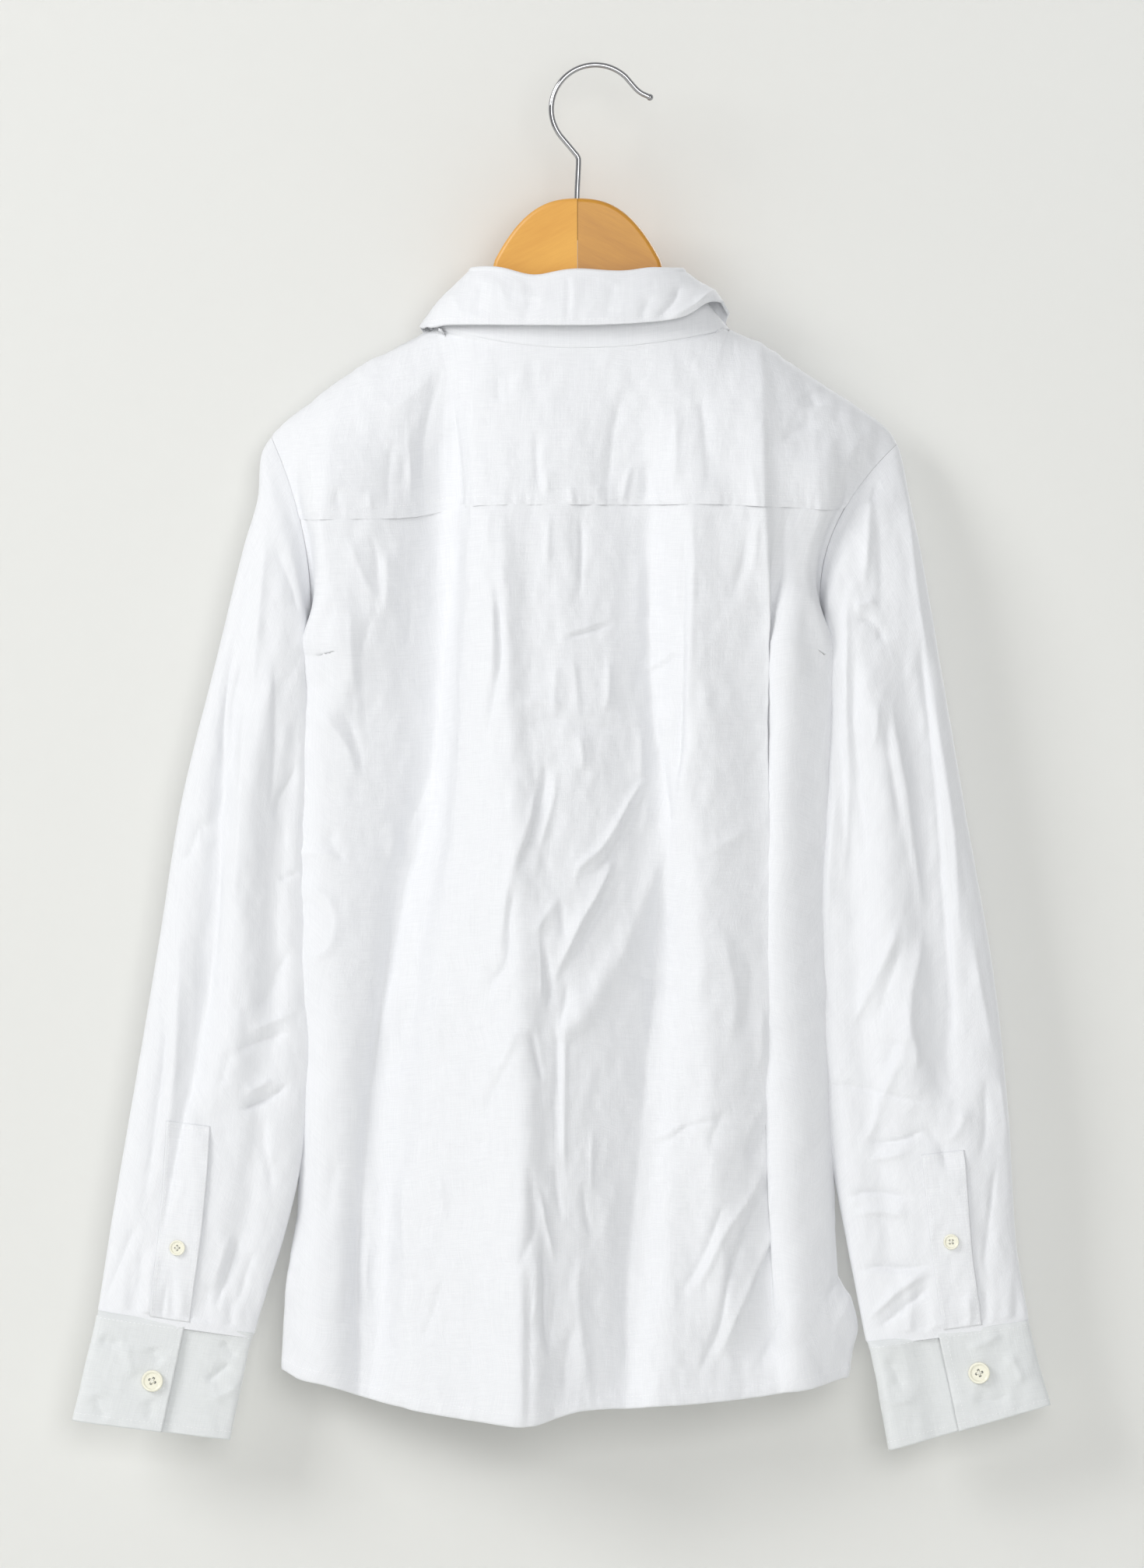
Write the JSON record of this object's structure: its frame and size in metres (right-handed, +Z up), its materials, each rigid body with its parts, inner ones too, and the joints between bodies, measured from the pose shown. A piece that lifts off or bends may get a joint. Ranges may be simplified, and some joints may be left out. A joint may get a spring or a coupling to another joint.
{
  "type": "crumpled long-sleeved shirt on a wooden hanger",
  "caption": "Creased long-sleeved cotton shirt with a turned-down collar, back yoke, buttoned cuffs and a buttoned front, hanging on a contoured wooden hanger with a wire hook.",
  "frame": {"origin": "inner top of the wire hook, on the wire's axis plane, where a rail or a wall hook carries the hanger", "axes": "+Z up; the shirt's back faces -Y and its buttoned front faces +Y; the wearer's left sleeve is at -X"},
  "size_m": [0.591, 0.0844, 0.8383],
  "materials": {
    "cloth": "matte plain-weave cotton, soft and much creased",
    "collar_cloth": "the same cotton, doubled and stiffened",
    "light_wood": "satin varnished pale wood",
    "dark_wood": "satin varnished wood, a little darker",
    "hook_chrome": "bright plated wire",
    "button": "cream, slightly glossy"
  },
  "bodies": {
    "root": {"hanger_arm_left": "light_wood", "hanger_arm_right": "dark_wood", "hanger_hook": "hook_chrome", "back_panel": "cloth", "back_yoke": "cloth", "front_left": "cloth", "front_right": "cloth", "front_placket": "cloth", "collar_stand": "collar_cloth", "collar_fall": "collar_cloth", "sleeve_left": "cloth", "sleeve_right": "cloth", "cuff_left": "cloth", "cuff_right": "cloth", "sleeve_placket_left": "cloth", "sleeve_placket_right": "cloth", "cuff_button_left": "button", "cuff_button_right": "button", "placket_button_left": "button", "placket_button_right": "button", "front_button_1": "button", "front_button_2": "button", "front_button_3": "button", "front_button_4": "button", "front_button_5": "button", "front_button_6": "button", "front_button_7": "button"}
  },
  "joints": []
}
